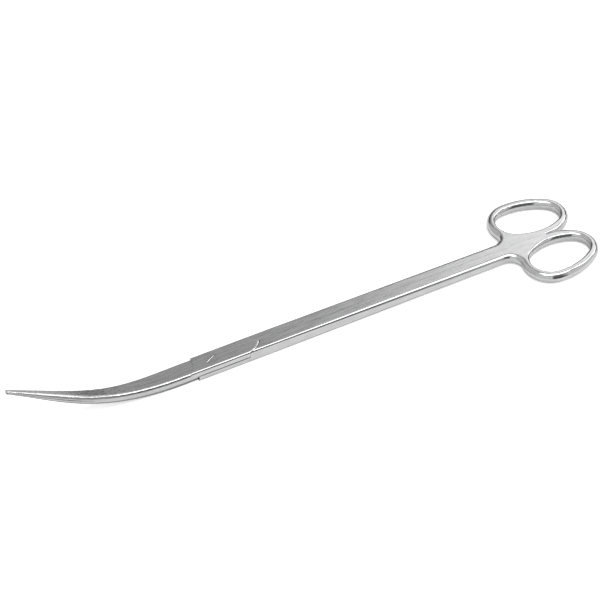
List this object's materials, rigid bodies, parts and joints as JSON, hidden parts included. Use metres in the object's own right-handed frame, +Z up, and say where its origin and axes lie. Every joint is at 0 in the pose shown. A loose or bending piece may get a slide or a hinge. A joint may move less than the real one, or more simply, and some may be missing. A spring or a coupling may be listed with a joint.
{
  "type": "dissecting scissors",
  "caption": "Long curved dissecting scissors with slim blunt blades, a flush slotted pivot screw and oval finger rings.",
  "frame": {"origin": "on the pivot axis, at the flat underside of the joint", "axes": "+X along the shanks to the finger rings, +Z up out of the upper half's outer side, tips curving up; the scissors lie closed on the flat underside"},
  "size_m": [0.284, 0.0548, 0.0317],
  "materials": {
    "upper_half_steel": "satin flats, polished rings",
    "lower_half_steel": "satin flats, polished rings",
    "screw_steel": "satin"
  },
  "bodies": {
    "lower": {"lower_half": "lower_half_steel", "pivot_screw": "screw_steel"},
    "upper": {"upper_half": "upper_half_steel"}
  },
  "joints": [
    {"name": "pivot", "type": "hinge", "parent": "lower", "child": "upper", "pos_m": [0, 0, 0], "axis": [0, 0, 1], "range_deg": [0, 90]}
  ]
}
